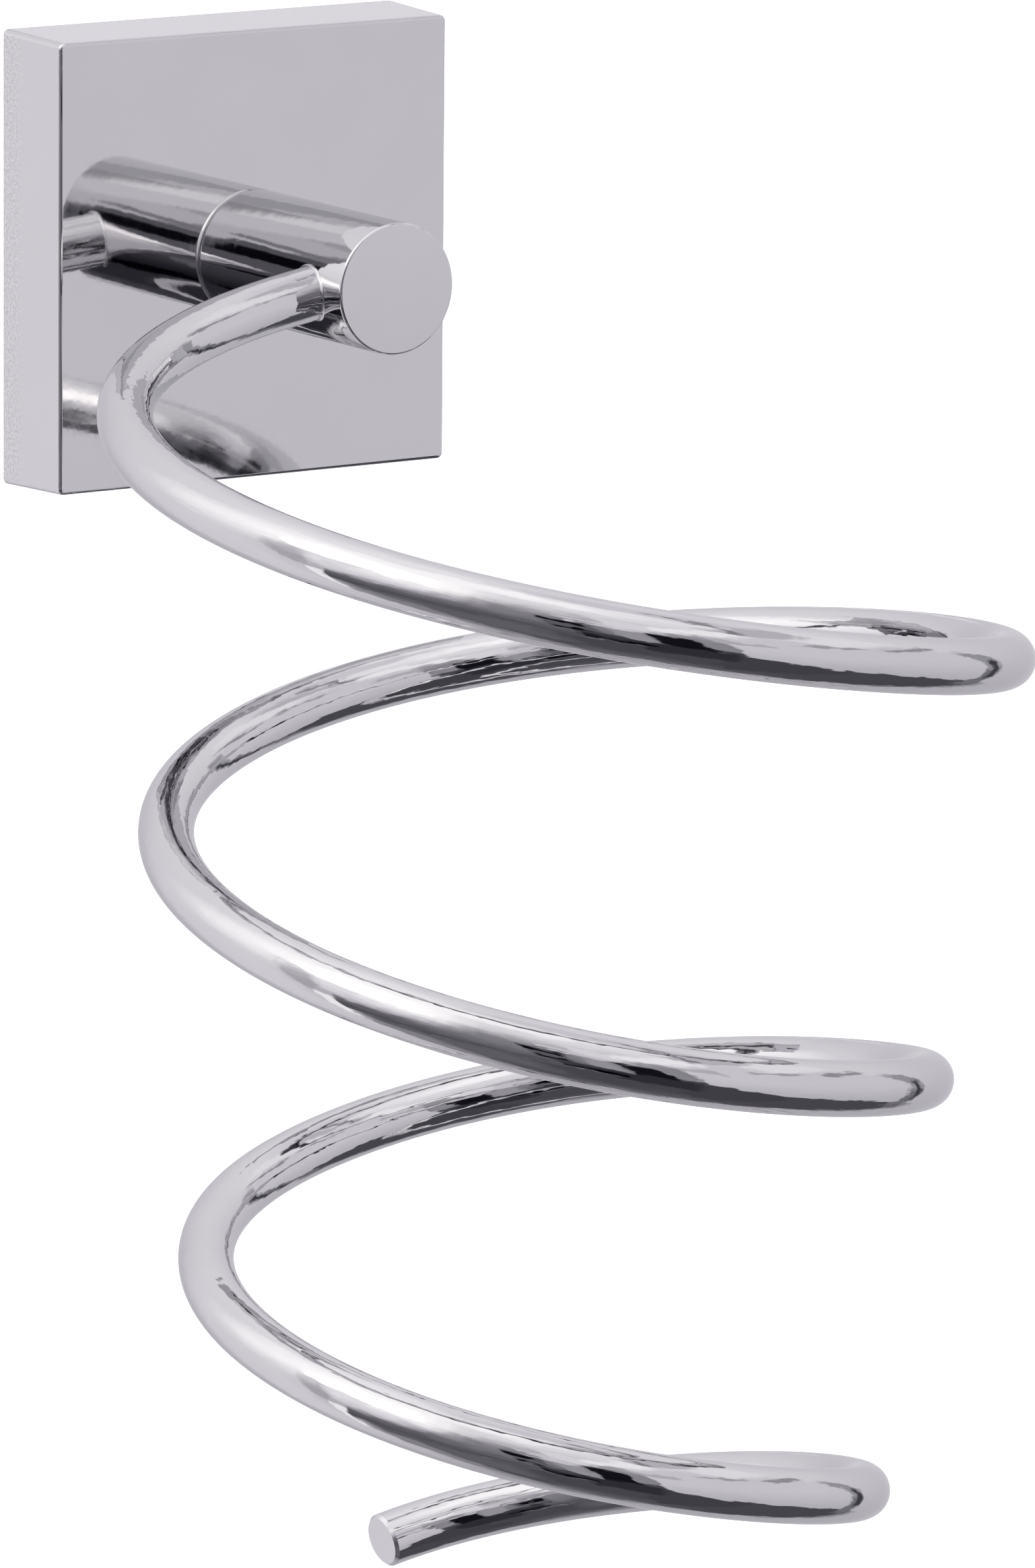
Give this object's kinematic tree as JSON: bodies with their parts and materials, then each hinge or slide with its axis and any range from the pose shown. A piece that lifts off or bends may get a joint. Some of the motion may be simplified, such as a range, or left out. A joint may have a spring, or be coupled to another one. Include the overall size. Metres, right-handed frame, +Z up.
{
  "type": "hair dryer holder",
  "caption": "Wall-mounted hair dryer holder: a tapering coil of round chromed rod hangs from a short round post on a square rosette, clamped over a hidden wall bracket.",
  "frame": {"origin": "on the wall, at the centre of the square rosette and midway between the wall bracket's two slots", "axes": "+Z up, +X to the right for someone facing the wall, -Y out of the wall towards the room"},
  "size_m": [0.099, 0.1326, 0.1664],
  "materials": {
    "chrome_rosette": "polished",
    "chrome_post": "polished",
    "chrome_rod": "polished",
    "bracket_steel": "zinc plated sheet",
    "zinc_steel": "zinc plated",
    "screw_steel": "stainless, machined"
  },
  "bodies": {
    "wall_mount": {"wall_bracket": "bracket_steel"},
    "holder": {"rosette": "chrome_rosette", "post": "chrome_post", "post_screw": "zinc_steel", "lock_washer": "zinc_steel", "spiral_rod": "chrome_rod", "solder_fillet": "chrome_rod"},
    "grub": {"clamp_screw": "screw_steel"}
  },
  "joints": [
    {"name": "holder_pull_off", "type": "slide", "parent": "wall_mount", "child": "holder", "axis": [0, -1, 0], "range_m": [0, 0.012]},
    {"name": "clamp_screw_travel", "type": "slide", "parent": "holder", "child": "grub", "axis": [0, 0, -1], "range_m": [0, 0.0016]}
  ]
}
